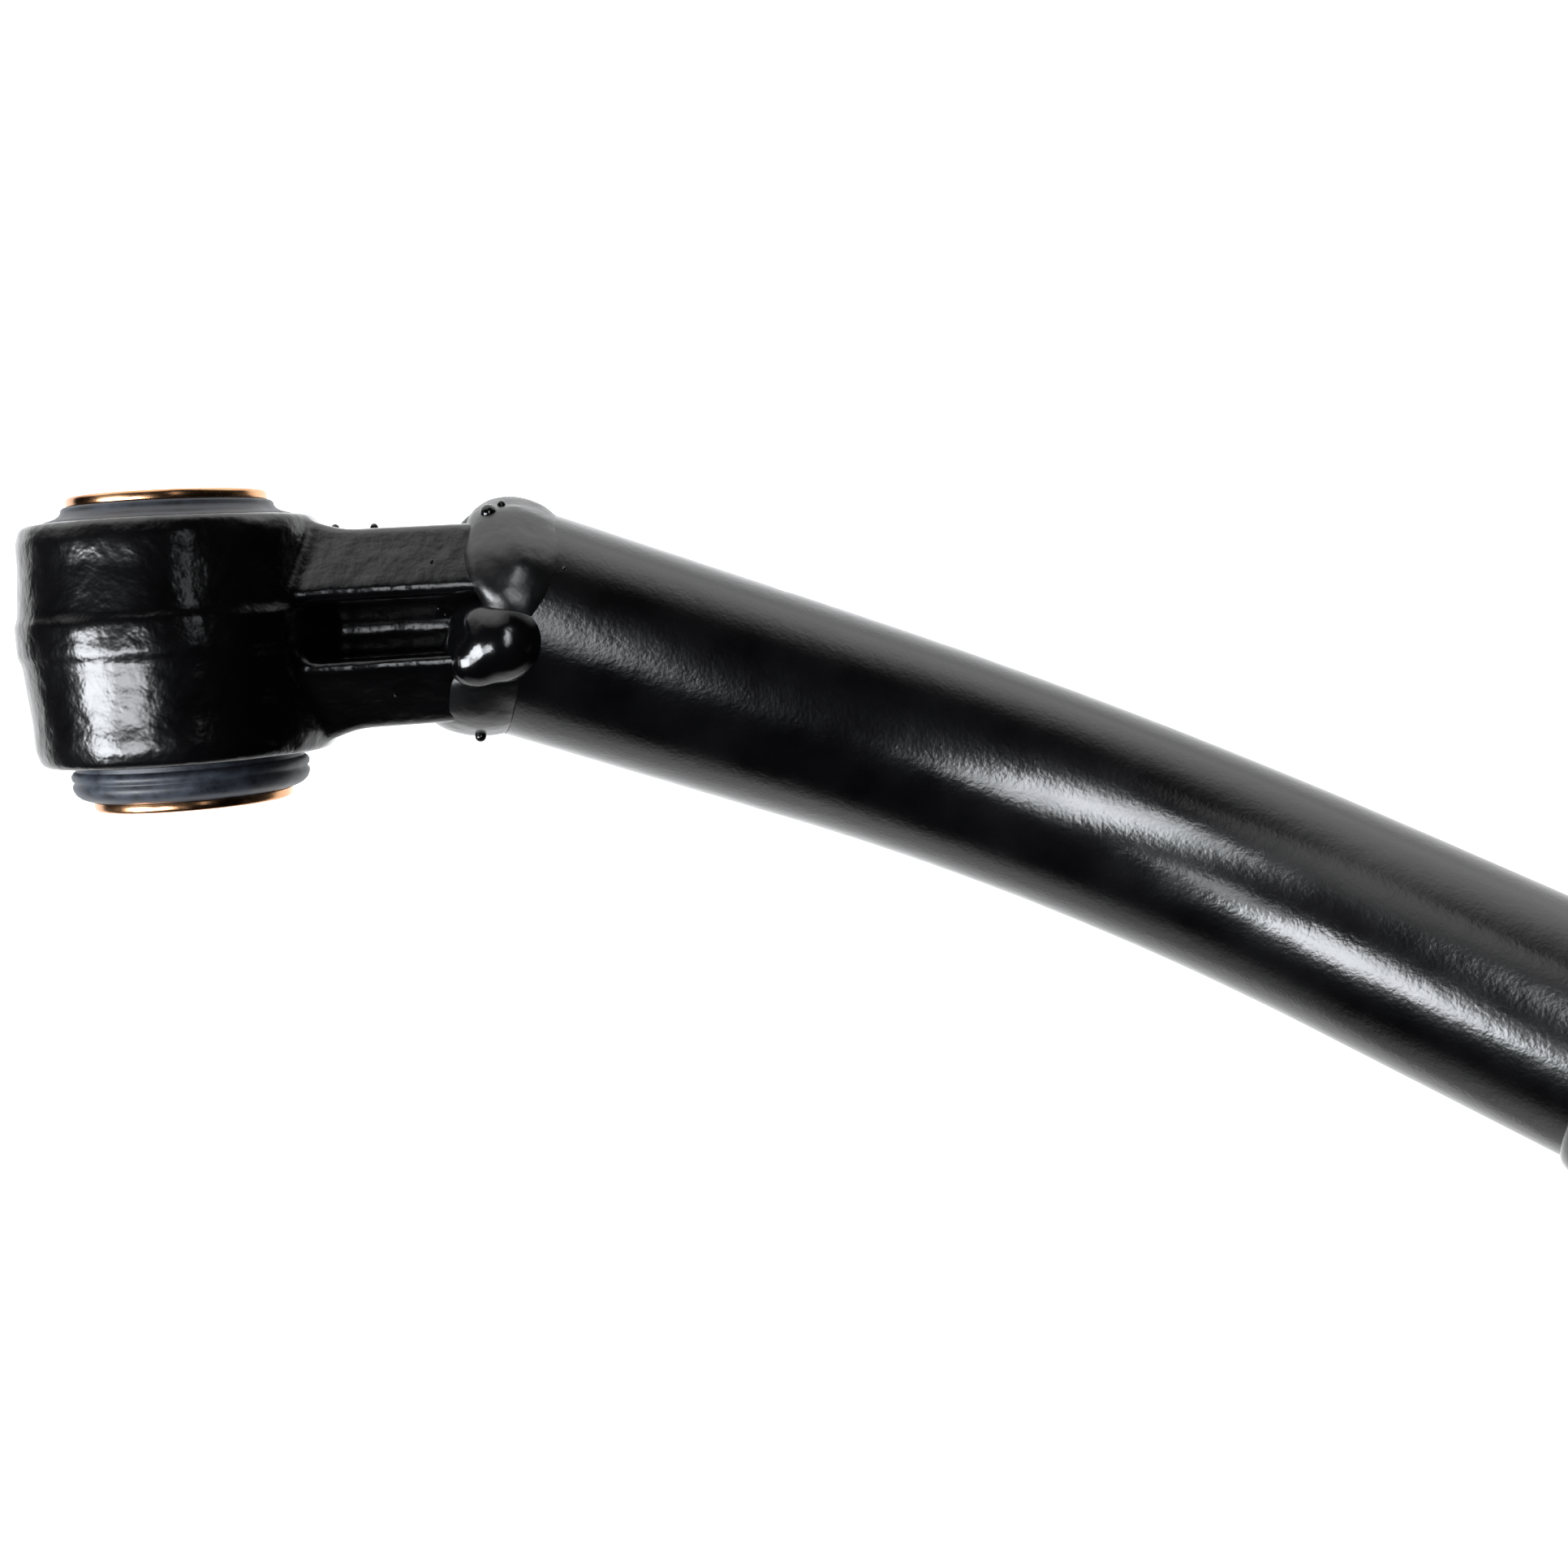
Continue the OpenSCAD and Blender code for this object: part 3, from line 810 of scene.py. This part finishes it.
def upper_lip():
    """Short flare of rubber between the eye and the upper ring."""
    return lathe(
        "upper_lip",
        [
            (17.2, EYE_HALF - 2),
            (25.2, EYE_HALF - 2),
            (25.2, EYE_HALF - 0.9),
            (26.4, EYE_HALF - 0.8),
            (26.4, EYE_HALF + 0.1),
            (25.8, EYE_HALF + 0.55),
            (24.6, EYE_HALF + 0.9),
            (23.4, EYE_HALF + 1.3),
            (22.5, EYE_HALF + 1.9),
            (22.0, EYE_HALF + 2.6),
            (22.0, EYE_HALF + 3.1),
            (21.5, UPPER_RING - 0.08),
            (17.2, UPPER_RING - 0.08),
        ],
        steps=160,
        closed=True,
    )


def lower_lip():
    """Deep lip of rubber with one groove between the eye and the lower ring."""
    top = -EYE_HALF
    return lathe(
        "lower_lip",
        [
            (17.2, LOWER_RING + 0.08),
            (21.3, LOWER_RING + 0.08),
            (22.3, LOWER_RING + 0.4),
            (23.4, LOWER_RING + 0.9),
            (24.3, LOWER_RING + 1.7),
            (24.8, LOWER_RING + 2.7),
            (24.9, LOWER_RING + 3.6),
            (24.5, LOWER_RING + 4.2),
            (24.5, LOWER_RING + 4.5),
            (24.9, LOWER_RING + 4.9),
            (25.0, LOWER_RING + 5.8),
            (24.6, LOWER_RING + 6.4),
            (24.0, LOWER_RING + 6.8),
            (24.0, top + 2),
            (17.2, top + 2),
        ],
        steps=160,
        closed=True,
    )


def bush_inner():
    top = RING_IN - FACE_GAP
    turns = [math.radians(BALL_TURN * i / 6) for i in range(-6, 7)]
    ball_part = [(BALL_R * math.cos(a), BALL_R * math.sin(a)) for a in turns]
    obj = lathe(
        "inner",
        [(SLEEVE_R + 0.05, -top), (NECK_R, -top)] + ball_part + [(NECK_R, top), (SLEEVE_R + 0.05, top)],
        steps=128,
        closed=True,
    )
    return set_place(obj, Matrix.Translation((0, -BUSH_DROP, 0)))


def bush_sleeve():
    obj = lathe(
        "sleeve",
        [
            (BOLT_R, -SLEEVE_HALF + 0.6),
            (BOLT_R + 0.6, -SLEEVE_HALF),
            (SLEEVE_R, -SLEEVE_HALF),
            (SLEEVE_R, SLEEVE_HALF),
            (BOLT_R + 0.6, SLEEVE_HALF),
            (BOLT_R, SLEEVE_HALF - 0.6),
        ],
        steps=96,
        closed=True,
    )
    return set_place(obj, Matrix.Translation((0, -BUSH_DROP, 0)))


def bush_ring(upwards):
    obj = lathe(
        "ring",
        [
            (SLEEVE_R, RING_IN),
            (RING_R - 0.4, RING_IN),
            (RING_R - 0.1, RING_IN + 0.15),
            (RING_R, RING_IN + 0.45),
            (RING_R, SLEEVE_HALF - 0.6),
            (RING_R - 0.15, SLEEVE_HALF - 0.2),
            (RING_R - 0.5, SLEEVE_HALF),
            (SLEEVE_R, SLEEVE_HALF),
        ],
        steps=160,
        closed=True,
    )
    if not upwards:
        set_place(obj, Matrix.Rotation(math.pi, 4, "X"))
    return set_place(obj, Matrix.Translation((0, -BUSH_DROP, 0)))


def bush_shell():
    return lathe(
        "shell",
        [
            (SHELL_BORE_R, -EYE_HALF + 1),
            (SHELL_R, -EYE_HALF + 1),
            (SHELL_R, EYE_HALF - 1),
            (SHELL_BORE_R, EYE_HALF - 1),
        ],
        steps=96,
        closed=True,
    )


def bush(end, holder, matrix):
    """One bush: the fixed one at the origin, or its copy at the adjuster."""
    core = end + "_core"
    turning = end + "_sleeve_body"
    up = (core, (0, EYE_HALF, 0), (0, UPPER_RING, 0))
    down = (core, (0, -EYE_HALF - 1.5, 0), (0, LOWER_RING, 0))

    def place(obj, name, body, node, slot, material, stretch=None):
        nodes = [end + node] if node else []
        smooth_angle = 50 if stretch else 40
        finish_piece(obj, end + name, body, nodes, material, matrix, smooth_angle, stretch)

    place(bush_shell(), "_shell", holder, "_bush_shell", "shell_steel", SHELL)
    place(bush_outer(), "_rubber", holder, "_outer_rubber", "rubber_outer", RUBBER_OUTER)
    place(upper_lip(), "_rubber_lip_top", holder, None, "rubber_outer", RUBBER_OUTER, up)
    place(lower_lip(), "_rubber_lip_bottom", holder, None, "rubber_outer", RUBBER_OUTER, down)
    place(bush_inner(), "_rubber_core", core, "_inner_rubber", "rubber_inner", RUBBER_INNER)
    place(bush_sleeve(), "_steel_sleeve", turning, "_sleeve", "yellow_zinc", GOLD)
    place(bush_ring(True), "_ring_top", turning, "_top_ring", "yellow_zinc", GOLD)
    place(bush_ring(False), "_ring_bottom", turning, "_bottom_ring", "yellow_zinc", GOLD)


# ---- stage ----
def softbox(name, at, toward, width, height, glow, colour, tilt=0, spread=180):
    """A lamp with a flat face; glow is how bright the face looks, tilt turns it in its own plane."""
    light = bpy.data.lights.new(name, "AREA")
    light.shape = "RECTANGLE"
    light.size = width
    light.size_y = height
    light.energy = glow * math.pi * width * height
    if spread < 180:
        # a narrow spread brightens the middle of the face, and this takes it back
        half = math.radians(spread / 2)
        light.energy *= 1 - half / math.tan(half)
    light.color = colour
    light.spread = math.radians(spread)
    obj = bpy.data.objects.new(name, light)
    bpy.context.scene.collection.objects.link(obj)
    aim = (Vector(toward) - Vector(at)).to_track_quat("-Z", "Y").to_matrix().to_4x4()
    obj.matrix_world = Matrix.Translation(at) @ aim @ Matrix.Rotation(math.radians(tilt), 4, "Z")


CAM_AT = Vector((30.908, 4.115, 426.964)) * MM
CAM_LOOK = Vector((0.23089, -0.10589, -0.96720))
CAM_UP = Vector((0.08196, 0.99264, -0.08911))
LENS = 42.857


def make_camera():
    data = bpy.data.cameras.new("camera")
    data.sensor_width = 36
    data.lens = LENS
    data.clip_start = 0.01
    data.clip_end = 30
    cam = bpy.data.objects.new("camera", data)
    bpy.context.scene.collection.objects.link(cam)
    back = -CAM_LOOK.normalized()
    right = CAM_UP.cross(back).normalized()
    up = back.cross(right)
    m = Matrix((right, up, back)).transposed().to_4x4()
    m.translation = CAM_AT
    cam.matrix_world = m
    bpy.context.scene.camera = cam
    return right, up, back


FLOOR_SIZE = 1.3
FLOOR_DROP = 0.25
FLOOR_MIDDLE_X = 0.22
PAPER_GLOW = 1.2


def make_floor():
    """A pale floor, far enough below the arm not to light its edges."""
    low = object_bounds()[0]
    bpy.ops.mesh.primitive_plane_add(size=FLOOR_SIZE, location=(FLOOR_MIDDLE_X, 0, low.z - FLOOR_DROP))
    floor = bpy.context.object
    floor.name = "floor"
    mat, tree, shader, at = new_material("floor_white")
    shade = noise(tree, at, 3, 2)
    tree.links.new(ramp(tree, shade, [(0.3, 0.88), (0.7, 0.9)]), shader.inputs["Base Color"])
    shader.inputs["Roughness"].default_value = 0.9
    shader.inputs["Emission Color"].default_value = (1, 1, 1, 1)
    shader.inputs["Emission Strength"].default_value = PAPER_GLOW
    floor.data.materials.append(mat)


def ease(tree, value, low, high, top):
    """A smooth step of the light with direction: 0 at low, top at high."""
    node = tree.nodes.new("ShaderNodeMapRange")
    node.interpolation_type = "SMOOTHSTEP"
    node.inputs["From Min"].default_value = low
    node.inputs["From Max"].default_value = high
    node.inputs["To Min"].default_value = 0
    node.inputs["To Max"].default_value = top
    tree.links.new(value, node.inputs["Value"])
    return node.outputs["Result"]


def combine(tree, kind, a, b):
    node = tree.nodes.new("ShaderNodeMath")
    node.operation = kind
    tree.links.new(a, node.inputs[0])
    tree.links.new(b, node.inputs[1])
    return node.outputs["Value"]


def make_world():
    """A dark room with a few light patches for reflections; the camera itself sees white."""
    world = bpy.data.worlds.new("studio")
    bpy.context.scene.world = world
    world.use_nodes = True
    tree = world.node_tree
    background = tree.nodes["Background"]
    coords = tree.nodes.new("ShaderNodeTexCoord")
    split = tree.nodes.new("ShaderNodeSeparateXYZ")
    tree.links.new(coords.outputs["Generated"], split.inputs["Vector"])
    y, z = split.outputs["Y"], split.outputs["Z"]
    sweep = ease(tree, z, -0.5, -0.9, 1.8)
    ceiling = combine(tree, "MULTIPLY", ease(tree, y, 0.25, 0.75, 1.0), ease(tree, z, 0.5, -0.1, 2.0))
    below = combine(tree, "MULTIPLY", ease(tree, y, -0.7, -0.98, 1.0), ease(tree, z, 0.15, -0.35, 1.4))
    room = combine(tree, "ADD", combine(tree, "ADD", sweep, ceiling), below)
    path = tree.nodes.new("ShaderNodeLightPath")
    paper = ease(tree, path.outputs["Is Camera Ray"], 0, 1, PAPER_GLOW)
    total = combine(tree, "MAXIMUM", room, paper)
    tree.links.new(total, background.inputs["Strength"])
    background.inputs["Color"].default_value = (1, 1, 1, 1)


WHITE = (0.93, 0.96, 1.0)
NEUTRAL = (1, 1, 1)
MID_BEND = Vector((0.2, -0.05, 0.04))
EYE_FRONT = Vector((0, 0, 0.03))
ON_FLANGE = Vector((0.03, 0, 0.02))
TOP_LAMP_AT = Vector((-0.12, 0.47, 0.24))
KEY_DISTANCE = 0.3


def make_lights(right, up, back):
    """One slanted strip for the tube, two boxes low on the left for the eye, one above."""

    def near(point, to_right, to_up, to_back):
        return point + right * to_right + up * to_up + back * to_back

    across, height = math.radians(-7), math.radians(4)
    key_at = near(
        MID_BEND,
        math.sin(across) * math.cos(height) * KEY_DISTANCE,
        math.sin(height) * KEY_DISTANCE,
        math.cos(across) * math.cos(height) * KEY_DISTANCE,
    )
    softbox("key_tube", key_at, MID_BEND, 0.27, 0.085, 24, WHITE, tilt=32, spread=72)
    softbox("key_eye", near(EYE_FRONT, -0.5, -0.25, 0.42), EYE_FRONT, 0.34, 0.3, 27, WHITE, spread=100)
    softbox("fill_eye", near(EYE_FRONT, -0.17, -0.17, 0.4), EYE_FRONT, 0.15, 0.2, 19, WHITE, spread=52)
    softbox("top", TOP_LAMP_AT, ON_FLANGE, 0.6, 0.5, 1.7, NEUTRAL, spread=54)


def main():
    arm_tube()
    fixed_forging()
    weld_between()
    recess_blob(1)
    recess_blob(-1)
    shank_spatter()
    end_weld()
    bung()
    jam_nut()
    adjuster_forging()
    adjuster_stud()
    bush("fixed", "arm", Matrix.Identity(4))
    bush("adjuster", "adjuster", FAR_FRAME)
    make_floor()
    make_world()
    right, up, back = make_camera()
    make_lights(right, up, back)
    bpy.context.scene.view_settings.view_transform = "Standard"


main()
